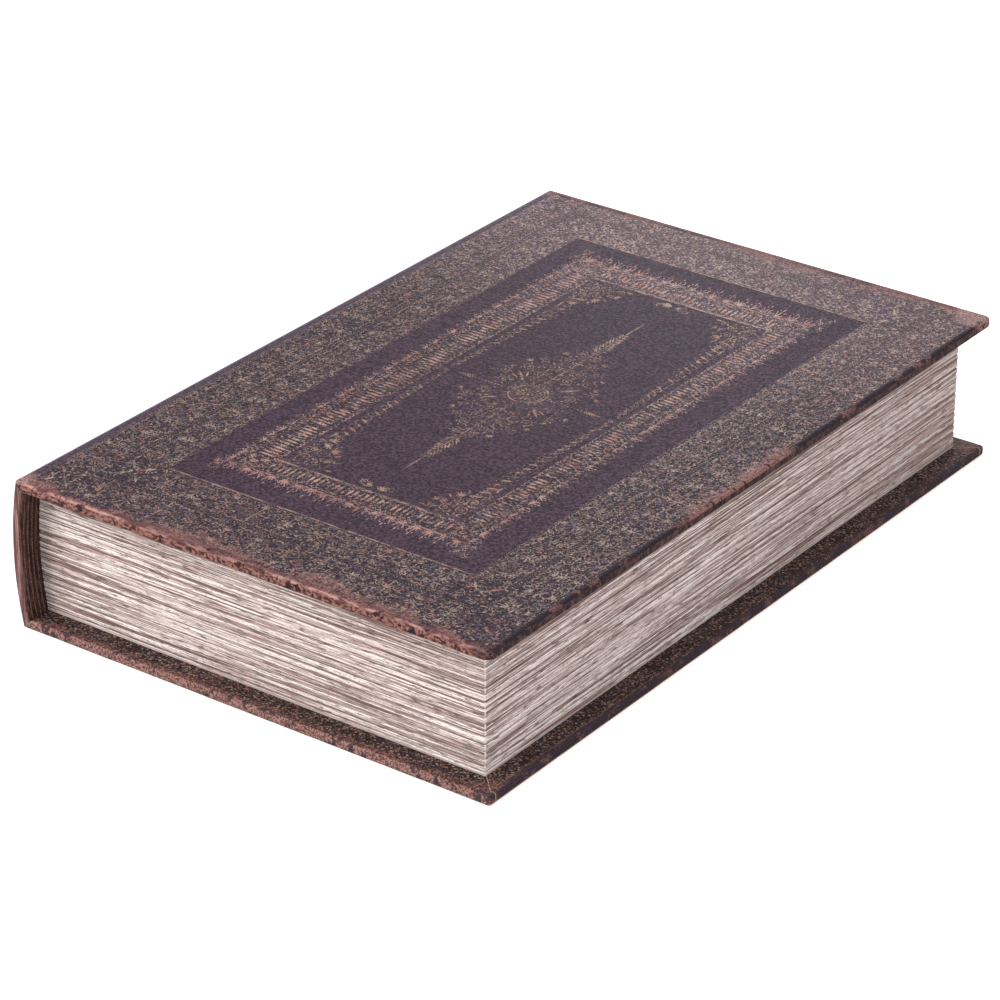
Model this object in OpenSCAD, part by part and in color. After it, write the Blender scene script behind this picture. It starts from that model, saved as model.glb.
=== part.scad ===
// Book-shaped keepsake box: a shallow tray glued into a case of three wrapped boards.
// The front cover is the lid. It turns about the outer edge at the top of the bowed spine.
// X runs from the spine to the fore edge, Y from tail to head, Z up.
// The origin is the centre of the base of the closed box.

/* [Case] */
// Length of the covers and the spine, from tail to head
case_l = 260; // [200:1:340]
// Width of each cover, from its edge at the spine to the fore edge
cover_w = 167; // [120:1:240]
// Thickness of the closed box
case_t = 47.5; // [32:1:90]
// How far the spine bows out past the covers
spine_bow = 2.5; // [1:0.1:5]
// Radius of the covers' fore corners, seen from above
cover_corner_r = 3; // [1:0.5:8]

/* [Boards and sheets] */
// Thickness of the grey board in each cover
board_t = 2.4; // [1.6:0.1:4]
// Thickness of the grey board in the spine
spine_board_t = 2.4; // [1.6:0.1:3.2]
// Thickness of the printed sheet that wraps the case
wrap_t = 0.4; // [0.3:0.05:0.8]
// Width of the sheet that is folded in over an edge
turn_in = 15; // [11:1:25]
// Thickness of the endpaper inside the lid
endpaper_t = 0.3; // [0.2:0.05:0.6]
// Bare border between the endpaper and the lid's edges
endpaper_margin = 4; // [2:0.5:8]
// Thickness of the paper strip that is folded double into the joint
joint_paper_t = 0.15; // [0.1:0.01:0.3]
// Length of each leg of the bending strip over the joint
hinge_leg = 4; // [3:0.5:8]

/* [Tray] */
// How far the covers stand out past the page edges at the tail
tail_square = 8; // [3:0.5:10]
// How far the covers stand out past the page edges at the head
head_square = 6; // [3:0.5:10]
// How far the covers stand out past the page edges at the fore edge
fore_square = 7.5; // [3:0.5:10]
// Thickness of the tray's walls
wall_t = 5; // [4.8:0.1:8]
// Thickness of the tray's floor board
floor_t = 2; // [1.5:0.1:4]
// Thickness of the lining on the walls and the floor
lining_t = 0.6; // [0.3:0.1:1.5]
// Thickness of the paper on the tray's rim
rim_paper_t = 0.3; // [0.2:0.05:0.6]

/* [Page edges] */
// Thickness of the embossed page-edge sheet
page_t = 1.2; // [0.9:0.1:2.5]
// Radius of the page edges' fore corners
page_corner_r = 3; // [2.6:0.1:8]
// Distance from one embossed groove to the next
groove_pitch = 2.2; // [1.4:0.1:4]
// Height of an embossed groove
groove_h = 0.8; // [0.3:0.1:1.2]
// Depth of an embossed groove
groove_d = 0.35; // [0.1:0.05:0.6]

/* [Closing magnets] */
// Diameter of each magnet in the fore wall
magnet_d = 4; // [3:0.1:4.2]
// Thickness of each magnet
magnet_t = 3; // [2:0.5:5]
// Distance from the middle of the box to each magnet
magnet_y = 80; // [30:1:85]
// Diameter of each steel disc in the lid
disc_d = 10; // [6:0.5:12]
// Thickness of each steel disc
disc_t = 0.8; // [0.4:0.1:1.2]

/* [Clearances] */
// Gap between the closed lid and the tray's rim
lid_gap = 0.2; // [0.1:0.05:0.5]
// Gap between the spine and the tray that is glued to it
spine_gap = 0.1; // [0.05:0.05:0.3]
// Gap all round a magnet or a disc in its pocket
pocket_gap = 0.05; // [0.02:0.01:0.15]

/* [Hidden] */
$fn = 96;

// Length that cutters and overlapping outlines run past what they cut or join
extra = 1;

leather_color = [0.24, 0.18, 0.20];
board_color = [0.55, 0.53, 0.50];
page_color = [0.80, 0.72, 0.65];
paper_color = [0.62, 0.52, 0.42];
lining_color = [0.26, 0.17, 0.14];
wall_color = [0.60, 0.46, 0.33];
steel_color = [0.70, 0.71, 0.73];

// Edges of the case: the covers' edge at the spine, and their fore edge
seam_x = (spine_bow - cover_w) / 2;
fore_x = (spine_bow + cover_w) / 2;

// Full thickness of a wrapped cover and of the wrapped spine
cover_t = board_t + 2 * wrap_t;
spine_t = spine_board_t + 2 * wrap_t;

// The spine's outer face is an arc through both of its edges
mid_z = case_t / 2;
spine_r = (mid_z * mid_z + spine_bow * spine_bow) / (2 * spine_bow);
spine_cx = seam_x - spine_bow + spine_r;

// Room in the mitred joint for the doubled paper strip, measured level
joint_step = 2 * joint_paper_t * sqrt(2);

// Tray: height range and page-edge outline
tray_low = cover_t;
tray_top = case_t - cover_t - endpaper_t - lid_gap;
tail_y = tail_square - case_l / 2;
head_y = case_l / 2 - head_square;
page_x = fore_x - fore_square;

// Inner faces of the walls, before they are lined
wall_low = tray_low + floor_t;
wall_top = tray_top - rim_paper_t;
spine_in = seam_x + spine_t + spine_gap + wall_t;
fore_in = page_x - page_t - wall_t;
tail_in = tail_y + page_t + wall_t;
head_in = head_y - page_t - wall_t;
lining_low = wall_low + lining_t;

// Grooves that fit between the plain strips at the foot and the top of the page edges
groove_n = floor((tray_top - tray_low - groove_pitch) / groove_pitch);
groove_low = (tray_low + tray_top - (groove_n - 1) * groove_pitch - groove_h) / 2;

// Magnets stand in the middle of the fore wall, and the discs lie right above them
magnet_x = fore_in + wall_t / 2;

// Rectangle with both corners on the high X side rounded
module fore_rounded(low_x, high_x, low_y, high_y, r) {
    translate([low_x, low_y]) square([high_x - low_x - r, high_y - low_y]);
    translate([low_x, low_y + r]) square([high_x - low_x, high_y - low_y - 2 * r]);
    translate([high_x - r, low_y + r]) circle(r);
    translate([high_x - r, high_y - r]) circle(r);
}

// Section in X and Z, drawn in the XY plane, made into a bar along Y
module bar(length) {
    rotate([90, 0, 0]) linear_extrude(length, center = true) children();
}

// Plate from one corner to the opposite one
module plate(low, high) {
    translate(low) cube(high - low);
}

// Cover with its outer face down at zero and its spine edge mitred.
// All other faces lie in by inset.
module cover_slab(inset) {
    intersection() {
        bar(case_l - 2 * inset) polygon([
            [seam_x + inset, inset],
            [fore_x - inset, inset],
            [fore_x - inset, cover_t - inset],
            [seam_x + cover_t - inset, cover_t - inset]
        ]);
        linear_extrude(cover_t) fore_rounded(
            seam_x, fore_x - inset, inset - case_l / 2, case_l / 2 - inset, cover_corner_r - inset);
    }
}

// Opening on the inside of a wrapped cover, between the turn-ins and up to high_z
module turn_in_window(low_x, high_z, gap) {
    plate(
        [low_x, turn_in + gap - case_l / 2, cover_t - wrap_t],
        [fore_x - turn_in - gap, case_l / 2 - turn_in - gap, high_z]);
}

// Sheet round a cover: outer face, edges and turn-ins
module cover_wrap() {
    difference() {
        cover_slab(0);
        cover_slab(wrap_t);
        turn_in_window(seam_x - extra, cover_t + extra, 0);
    }
}

module at_lid() {
    translate([0, 0, case_t]) mirror([0, 0, 1]) children();
}

// Ring sector of the spine between two depths below its outer face.
// Its ends are cut by the mitres, and the upper one is lowered by drop.
module spine_section(outer_depth, inner_depth, drop) {
    reach = spine_bow + extra;
    high = case_t - drop;
    intersection() {
        difference() {
            translate([spine_cx, mid_z]) circle(spine_r - outer_depth, $fn = 360);
            translate([spine_cx, mid_z]) circle(spine_r - inner_depth, $fn = 360);
        }
        polygon([[seam_x - reach, -reach], [seam_x + high / 2, high / 2], [seam_x - reach, high + reach]]);
    }
}

// Everything on the spine's side of the face that the tray is glued to
module spine_side() {
    bar(case_l) difference() {
        translate([seam_x - spine_bow - extra, -extra])
            square([spine_bow + spine_t + wall_t + extra, case_t + 2 * extra]);
        translate([spine_cx, mid_z]) circle(spine_r - spine_t - spine_gap, $fn = 360);
    }
}

// Tray outline at a depth below the page edges. It runs past the spine's seams by reach.
module tray_outline(inset, reach = 0) {
    fore_rounded(seam_x - reach, page_x - inset, tail_y + inset, head_y - inset, page_corner_r - inset);
}

// Steel discs, or their pockets where gap is more than zero
module at_discs(gap) {
    for (side = [-1, 1])
        translate([magnet_x, side * magnet_y, case_t - cover_t + wrap_t - gap])
            cylinder(d = disc_d + 2 * gap, h = disc_t + 2 * gap);
}

// Magnets, or their pockets where gap is more than zero
module at_magnets(gap) {
    for (side = [-1, 1])
        translate([magnet_x, side * magnet_y, wall_top - magnet_t - gap])
            cylinder(d = magnet_d + 2 * gap, h = magnet_t + 2 * gap);
}

module front_board() {
    color(board_color) difference() {
        at_lid() cover_slab(wrap_t);
        at_discs(pocket_gap);
    }
}

module front_wrap() {
    color(leather_color) difference() {
        at_lid() cover_wrap();
        plate(
            [seam_x - extra, -case_l, case_t - wrap_t],
            [seam_x + hinge_leg, case_l, case_t + extra]);
    }
}

module front_endpaper() {
    edge_x = seam_x + cover_t + joint_step;
    color(paper_color) at_lid() union() {
        turn_in_window(edge_x, cover_t, pocket_gap);
        plate(
            [edge_x, endpaper_margin - case_l / 2, cover_t],
            [fore_x - endpaper_margin, case_l / 2 - endpaper_margin, cover_t + endpaper_t]);
    }
}

module keeper_discs() {
    color(steel_color) at_discs(0);
}

// The sheet where it bends over the joint: one leg on the lid, one on the spine
module hinge_strip() {
    color(leather_color) bar(case_l) union() {
        translate([seam_x, case_t - wrap_t]) square([hinge_leg, wrap_t]);
        intersection() {
            spine_section(0, wrap_t, 0);
            translate([seam_x - spine_bow, case_t - hinge_leg]) square([spine_bow + hinge_leg, hinge_leg]);
        }
    }
}

// Doubled paper between the mitred edges of the spine and the lid
module joint_liner() {
    start = wrap_t + joint_step;
    color(paper_color) bar(case_l - 2 * wrap_t) polygon([
        [seam_x + start, case_t - start],
        [seam_x + cover_t, case_t - cover_t],
        [seam_x + cover_t - joint_step, case_t - cover_t],
        [seam_x + wrap_t, case_t - start]
    ]);
}

module spine_board() {
    color(board_color) bar(case_l - 2 * wrap_t)
        spine_section(wrap_t, wrap_t + spine_board_t, joint_step);
}

module spine_wrap() {
    color(leather_color) difference() {
        bar(case_l) spine_section(0, spine_t, joint_step);
        bar(case_l - 2 * wrap_t) spine_section(wrap_t, wrap_t + spine_board_t, 0);
        bar(case_l - 2 * turn_in) spine_section(wrap_t, spine_t + extra, 0);
        bar(case_l + extra) intersection() {
            spine_section(-extra, wrap_t, -extra);
            translate([seam_x - spine_bow - extra, case_t - hinge_leg])
                square([spine_bow + hinge_leg + extra, hinge_leg + extra]);
        }
    }
}

module back_board() {
    color(board_color) cover_slab(wrap_t);
}

module back_wrap() {
    color(leather_color) cover_wrap();
}

module tray_floor() {
    color(wall_color) difference() {
        translate([0, 0, tray_low]) linear_extrude(floor_t) tray_outline(page_t);
        spine_side();
    }
}

module spine_wall() {
    color(wall_color) difference() {
        plate([seam_x, tail_in, wall_low], [spine_in, head_in, wall_top]);
        spine_side();
    }
}

// Wall across the tail or the head, over the part of the tray's outline from low_y to high_y
module end_wall(low_y, high_y) {
    color(wall_color) difference() {
        translate([0, 0, wall_low]) linear_extrude(wall_top - wall_low) intersection() {
            tray_outline(page_t);
            translate([seam_x, low_y]) square([cover_w, high_y - low_y]);
        }
        spine_side();
    }
}

module tail_wall() {
    end_wall(tail_y, tail_in);
}

module head_wall() {
    end_wall(head_in, head_y);
}

module fore_wall() {
    color(wall_color) difference() {
        plate([fore_in, tail_in, wall_low], [fore_in + wall_t, head_in, wall_top]);
        at_magnets(pocket_gap);
    }
}

module closing_magnets() {
    color(steel_color) at_magnets(0);
}

module page_edge() {
    color(page_color) difference() {
        translate([0, 0, tray_low]) linear_extrude(tray_top - tray_low) difference() {
            tray_outline(0);
            tray_outline(page_t, extra);
        }
        for (i = [0:groove_n - 1])
            translate([0, 0, groove_low + i * groove_pitch]) linear_extrude(groove_h) difference() {
                tray_outline(-extra, extra);
                tray_outline(groove_d, 2 * extra);
            }
        spine_side();
    }
}

module rim_paper() {
    color(paper_color) difference() {
        translate([0, 0, wall_top]) linear_extrude(rim_paper_t) tray_outline(page_t);
        plate(
            [spine_in + lining_t, tail_in + lining_t, wall_low],
            [fore_in - lining_t, head_in - lining_t, case_t]);
        spine_side();
    }
}

module floor_lining() {
    color(lining_color) plate([spine_in, tail_in, wall_low], [fore_in, head_in, lining_low]);
}

module spine_lining() {
    color(lining_color) plate(
        [spine_in, tail_in + lining_t, lining_low],
        [spine_in + lining_t, head_in - lining_t, wall_top]);
}

module fore_lining() {
    color(lining_color) plate(
        [fore_in - lining_t, tail_in + lining_t, lining_low],
        [fore_in, head_in - lining_t, wall_top]);
}

module tail_lining() {
    color(lining_color) plate([spine_in, tail_in, lining_low], [fore_in, tail_in + lining_t, wall_top]);
}

module head_lining() {
    color(lining_color) plate([spine_in, head_in - lining_t, lining_low], [fore_in, head_in, wall_top]);
}

front_board();
front_wrap();
front_endpaper();
keeper_discs();
hinge_strip();
joint_liner();
spine_board();
spine_wrap();
back_board();
back_wrap();
tray_floor();
spine_wall();
tail_wall();
head_wall();
fore_wall();
page_edge();
rim_paper();
floor_lining();
spine_lining();
tail_lining();
head_lining();
fore_lining();
closing_magnets();
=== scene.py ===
"""Looks of the book box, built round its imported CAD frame.

Drawing lengths are in millimetres of the closed box, and meshes are made in metres.
X runs from the spine to the fore edge, Y from tail to head, Z up.
"""

import itertools
import math
import random

import bpy
import numpy as np
from mathutils import Matrix, Vector, noise


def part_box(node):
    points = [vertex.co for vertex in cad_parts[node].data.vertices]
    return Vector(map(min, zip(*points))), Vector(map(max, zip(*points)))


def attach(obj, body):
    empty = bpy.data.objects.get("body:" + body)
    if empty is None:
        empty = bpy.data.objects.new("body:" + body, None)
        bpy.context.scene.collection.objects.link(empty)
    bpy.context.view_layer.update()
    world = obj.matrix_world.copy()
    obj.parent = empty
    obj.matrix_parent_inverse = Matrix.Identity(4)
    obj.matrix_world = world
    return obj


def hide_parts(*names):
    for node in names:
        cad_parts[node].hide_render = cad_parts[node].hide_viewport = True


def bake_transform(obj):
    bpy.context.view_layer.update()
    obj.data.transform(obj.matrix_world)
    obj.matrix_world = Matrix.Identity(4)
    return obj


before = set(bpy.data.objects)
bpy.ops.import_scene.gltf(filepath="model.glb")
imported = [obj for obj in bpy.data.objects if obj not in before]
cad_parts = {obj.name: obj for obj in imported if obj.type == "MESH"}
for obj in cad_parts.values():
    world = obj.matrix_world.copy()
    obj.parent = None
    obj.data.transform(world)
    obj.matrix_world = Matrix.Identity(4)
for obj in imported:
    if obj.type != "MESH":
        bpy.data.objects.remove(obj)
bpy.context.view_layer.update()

MM = 0.001
REST = "rest_mm"
STRIP = "strip_mm"
rng = random.Random(7)


# Sizes read from the frame

def box_mm(node):
    """Lowest and highest corner of a CAD node, in millimetres."""
    low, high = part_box(node)
    return low / MM, high / MM


back_low, back_high = box_mm("back_wrap")
_, front_high = box_mm("front_wrap")
board_low, _ = box_mm("back_board")
spine_low, _ = box_mm("spine_wrap")
strip_low, strip_high = box_mm("hinge_strip")
pages_low, pages_high = box_mm("page_edge")
tail_wall_low, _ = box_mm("tail_wall")
endpaper_low, _ = box_mm("front_endpaper")

SEAM_X = back_low.x
FORE_X = back_high.x
TAIL_Y = back_low.y
HEAD_Y = back_high.y
CASE_T = front_high.z
COVER_T = back_high.z
WRAP_T = board_low.z
CASE_L = HEAD_Y - TAIL_Y
COVER_W = FORE_X - SEAM_X
SPINE_BOW = SEAM_X - spine_low.x
HINGE_LEG = strip_high.z - strip_low.z
PAGE_T = tail_wall_low.y - pages_low.y
MID_Z = CASE_T / 2
SPINE_R = (MID_Z ** 2 + SPINE_BOW ** 2) / (2 * SPINE_BOW)
SPINE_CX = SEAM_X - SPINE_BOW + SPINE_R

# Sizes of the solids that their boxes don't give
TURN_IN = 15.0
JOINT_PAPER_T = 0.15
SPINE_GAP = 0.1
GROOVE_PITCH = 2.2

# Softer and finer shapes than the solids have. Each pair of radii is (tail, head).
OUTER_ARRIS = 0.9
INNER_ARRIS = 0.7
LID_CORNERS_R = (3.2, 2.2)
BACK_CORNERS_R = (1.2, 1.2)
STRIP_BEND_R = 0.5
MITRE_SHIFT = 0.2
PAGE_CORNER_R = 0.8
GROOVE_DEPTH = 0.36
LEAF_DEPTH = 0.13
DEEPEST_GROOVE = 0.6
FOOT = 0.9
PLAIN_TOP = 0.35
EDGE_WOBBLE = 0.16
FOIL_LIFT = 0.012
TINY = 0.001

# Points along an end, along the fore edge and round a corner
COVER_POINTS = (44, 66, 7)
PAGE_POINTS = (62, 96, 11)
PAGE_ROW = 0.2

# Edges sharper than these angles stay sharp
CREASE = math.radians(50)
PAGE_CREASE = math.radians(80)

# The photograph's camera
VIEW_AZIMUTH = 35.86
VIEW_ELEVATION = 27.39
VIEW_ROLL = 0.21
CAMERA_MM = Vector((641.75, -884.2, 578.7))
FRAME_PX = 1000
FOCAL_PX = 4117
CENTRE_PX = (527, 499)
SENSOR_MM = 36.0


def srgb(red, green, blue):
    """Linear colour with alpha from 8-bit sRGB numbers."""
    linear = [
        c / 12.92 if c <= 0.04045 else ((c + 0.055) / 1.055) ** 2.4
        for c in (red / 255, green / 255, blue / 255)
    ]
    return (*linear, 1.0)


# Materials as expressions

class Number:
    """A value that varies over a surface: one output of a node."""

    def __init__(self, paint, socket):
        self.paint = paint
        self.socket = socket

    def op(self, operation, *others):
        return self.paint.math(operation, self, *others)

    def __add__(self, other):
        return self.op("ADD", other)

    def __sub__(self, other):
        return self.op("SUBTRACT", other)

    def __mul__(self, other):
        return self.op("MULTIPLY", other)

    def __rsub__(self, other):
        return self.paint.math("SUBTRACT", other, self)

    def __abs__(self):
        return self.op("ABSOLUTE")

    def low(self, other):
        return self.op("MINIMUM", other)

    def high(self, other):
        return self.op("MAXIMUM", other)

    def wave(self, period):
        """Triangle wave from 0 to 1 with that period."""
        return self.op("PINGPONG", period / 2) * (2 / period)

    def rise(self, start, end):
        """Smooth step from 0 at start to 1 at end."""
        ends = (0.0, 1.0) if start < end else (1.0, 0.0)
        inputs = dict(enumerate((self, min(start, end), max(start, end), *ends)))
        node = self.paint.node("ShaderNodeMapRange", inputs, interpolation_type="SMOOTHSTEP")
        return Number(self.paint, node.outputs[0])


class Nodes:
    """Makes the nodes of one tree."""

    def __init__(self, tree):
        self.tree = tree

    def feed(self, socket, value):
        """Sets or links an input. A colour of three numbers is 8-bit sRGB."""
        if isinstance(value, Number):
            value = value.socket
        if isinstance(value, bpy.types.NodeSocket):
            self.tree.links.new(value, socket)
        elif socket.type == "RGBA" and len(value) == 3:
            socket.default_value = srgb(*value)
        else:
            socket.default_value = value

    def fill(self, node, inputs):
        """Feeds a node's inputs by their names or numbers."""
        for key, value in inputs.items():
            self.feed(node.inputs[key], value)
        return node

    def node(self, kind, inputs=None, **settings):
        node = self.tree.nodes.new(kind)
        for name, value in settings.items():
            setattr(node, name, value)
        return self.fill(node, inputs or {})


class Paint(Nodes):
    """One material. Its place is the point of the closed box, in millimetres."""

    def __init__(self, name, stored=None):
        self.material = bpy.data.materials.new(name)
        self.material.use_nodes = True
        super().__init__(self.material.node_tree)
        if stored:
            self.place = self.node("ShaderNodeAttribute", attribute_name=stored).outputs["Vector"]
        else:
            inputs = {0: self.node("ShaderNodeTexCoord").outputs["Object"], "Scale": 1 / MM}
            scale = self.node("ShaderNodeVectorMath", inputs, operation="SCALE")
            self.place = scale.outputs[0]
        split = self.node("ShaderNodeSeparateXYZ", {0: self.place})
        self.x, self.y, self.z = (Number(self, output) for output in split.outputs)

    def math(self, operation, *values):
        node = self.node("ShaderNodeMath", dict(enumerate(values)), operation=operation)
        return Number(self, node.outputs[0])

    def spread(self, size, stretch, seed):
        """The place divided by a size in millimetres, and moved by a seed."""
        scale = [1 / (size * part) for part in stretch]
        shift = (seed * 7.3, seed * 3.1, seed * 5.7)
        inputs = {0: self.place, 1: scale, 2: shift}
        return self.node("ShaderNodeVectorMath", inputs, operation="MULTIPLY_ADD").outputs[0]

    def noise(self, size, detail=2.0, stretch=(1, 1, 1), seed=0, warp=0.0):
        place = self.spread(size, stretch, seed)
        inputs = {"Vector": place, "Scale": 1.0, "Detail": detail, "Distortion": warp}
        return Number(self, self.node("ShaderNodeTexNoise", inputs).outputs[0])

    def cells(self, size, stretch=(1, 1, 1), seed=0, output="Distance"):
        inputs = {"Vector": self.spread(size, stretch, seed), "Scale": 1.0}
        return Number(self, self.node("ShaderNodeTexVoronoi", inputs).outputs[output])

    def mix(self, factor, first, second):
        inputs = {0: factor, 6: first, 7: second}
        return self.node("ShaderNodeMix", inputs, data_type="RGBA").outputs[2]

    def coats(self, colour, *layers):
        """The colour under layers, each a factor and the colour that it lays on."""
        for factor, tone in layers:
            colour = self.mix(factor, colour, tone)
        return colour

    def finish(self, colour, roughness, relief, specular=0.2, **constants):
        """Wires the shader. relief is a height in millimetres."""
        bump = self.node("ShaderNodeBump", {"Height": relief, "Strength": 1.0, "Distance": MM})
        self.fill(self.tree.nodes["Principled BSDF"], {
            "Base Color": colour,
            "Roughness": roughness,
            "Specular IOR Level": specular,
            "Normal": bump.outputs[0],
            **{name.replace("_", " "): value for name, value in constants.items()},
        })
        return self.material


# Layout of the front cover. u runs from the tail edge and v from the spine edge.

class Rect:
    """Rectangle on a cover, in u and v."""

    def __init__(self, low_u, high_u, low_v, high_v):
        self.u = (low_u, high_u)
        self.v = (low_v, high_v)


EDGE_RECT = Rect(3.0, CASE_L - 3.0, 3.0, COVER_W - 1.6)
DIVIDE_RECT = Rect(17.5, CASE_L - 11.5, 17.0, COVER_W - 16.0)
BORDER_RECT = Rect(31.8, CASE_L - 26.7, 30.2, COVER_W - 28.9)
FRINGE_RECT = Rect(38.8, CASE_L - 32.0, 37.2, COVER_W - 37.3)
COMB_RECT = Rect(45.6, CASE_L - 40.3, 41.0, COVER_W - 41.8)
FIELD_RECT = Rect(54.3, CASE_L - 49.5, 52.2, COVER_W - 50.1)
CENTRE = (131.3, 84.2)

NEAR_BLACK = (30, 24, 28)
CREAM = (188, 160, 150)
OLIVE = (150, 127, 110)
RUST = (178, 114, 98)
SLATE = (110, 98, 122)
SHEEN = (1.0, 0.86, 0.95, 1.0)


def beyond(paint, rect):
    """Distance outside a rectangle of the front cover, and below zero inside it."""
    mid_u = TAIL_Y + sum(rect.u) / 2
    mid_v = SEAM_X + sum(rect.v) / 2
    over_u = abs(paint.y - mid_u) - (rect.u[1] - rect.u[0]) / 2
    over_v = abs(paint.x - mid_v) - (rect.v[1] - rect.v[0]) / 2
    return over_u.high(over_v)


def corner_distance(paint, u, v):
    """Distance on the cover from the point at u, v."""
    du = paint.y - (TAIL_Y + u)
    dv = paint.x - (SEAM_X + v)
    return (du * du + dv * dv).op("SQRT")


def leather_grain(paint):
    """Pebbled grain: 1 on a pebble and 0 in the creases round it."""
    pebbles = paint.cells(1.05, stretch=(1.2, 1, 1), seed=3).rise(0.7, 0.15)
    uneven = paint.noise(0.85, detail=3.0, seed=4)
    return pebbles * 0.4 + uneven.rise(0.32, 0.68) * 0.6


def leather_relief(paint, grain):
    """Height of the leather, in millimetres."""
    return grain * 0.2 + paint.noise(0.4, detail=1.0, seed=11) * 0.03


def lace_print(paint, size, seed):
    """Fine lace of short strokes and curls: how much of it shows, and its varied colour."""
    pitch = (1.25, 1, 1)
    beads = paint.cells(size, stretch=pitch, seed=seed).rise(0.4, 0.26)
    hue = paint.cells(size, stretch=pitch, seed=seed, output="Color")
    waves = paint.noise(size * 1.1, detail=1.0, seed=seed, warp=0.5)
    curls = abs(waves - 0.5).rise(0.035, 0.01)
    tone = paint.coats(
        CREAM,
        (hue.rise(0.36, 0.42), OLIVE),
        (hue.rise(0.52, 0.56), RUST),
        (hue.rise(0.66, 0.7), SLATE),
    )
    return (beads * hue.rise(0.05, 0.3)).high(curls * 0.75), tone


def lattice(paint, pitch_x, pitch_y):
    """Diagonal lattice of thin lines: 1 on a line."""
    return abs(paint.x.wave(pitch_x) + paint.y.wave(pitch_y) - 1.0).rise(0.15, 0.06)


def plain_leather(paint, grain, fleck):
    """Colour of the leather where nothing is printed on it."""
    broad = paint.noise(34.0, detail=3.0, seed=1)
    light = paint.mix(broad.rise(0.3, 0.7), (82, 61, 80), (75, 56, 71))
    colour = paint.mix(grain.rise(0.74, 0.26), light, (37, 25, 36))
    return paint.mix(fleck.rise(0.58, 0.7) * 0.55, colour, (118, 94, 110))


def printed_zone(paint):
    """Where the cover is printed with fine lace: its border, and the inner frame."""
    border = beyond(paint, BORDER_RECT).rise(-0.2, 0.2) * beyond(paint, EDGE_RECT).rise(0.4, -0.4)
    band = beyond(paint, FIELD_RECT).rise(-0.2, 0.3) * beyond(paint, COMB_RECT).rise(1.4, 0.2)
    return border.high(band)


def sprinkled_zone(paint, patch):
    """Where thin lace lies on the plain field: its corners, and a lozenge in its middle."""
    ragged = (patch - 0.5) * 0.7
    half_u = (FIELD_RECT.u[1] - FIELD_RECT.u[0]) / 2
    half_v = (FIELD_RECT.v[1] - FIELD_RECT.v[0]) / 2
    off_u = abs(paint.y - (TAIL_Y + sum(FIELD_RECT.u) / 2))
    off_v = abs(paint.x - (SEAM_X + sum(FIELD_RECT.v) / 2))
    in_corner = (half_u - off_u) * (1 / 21) + (half_v - off_v) * (1 / 15) + ragged
    in_centre = off_u * (1 / 40) + off_v * (1 / 21) + ragged
    inside = beyond(paint, FIELD_RECT).rise(0.0, -0.5)
    return in_corner.rise(1.1, 0.6).high(in_centre.rise(1.0, 0.5)) * inside


def mitre_fold(u, from_fore, small):
    """Crease of the sheet folded in at a corner: a diagonal that turns to meet the fore edge."""
    to_end = u.low(CASE_L - u)
    near_corner = to_end.high(from_fore).rise(10.5, 9.0)
    off_line = to_end - from_fore.high(1.7) - 1.0 + (small - 0.5) * 0.5
    return abs(off_line).rise(0.22, 0.08) * near_corner


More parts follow.
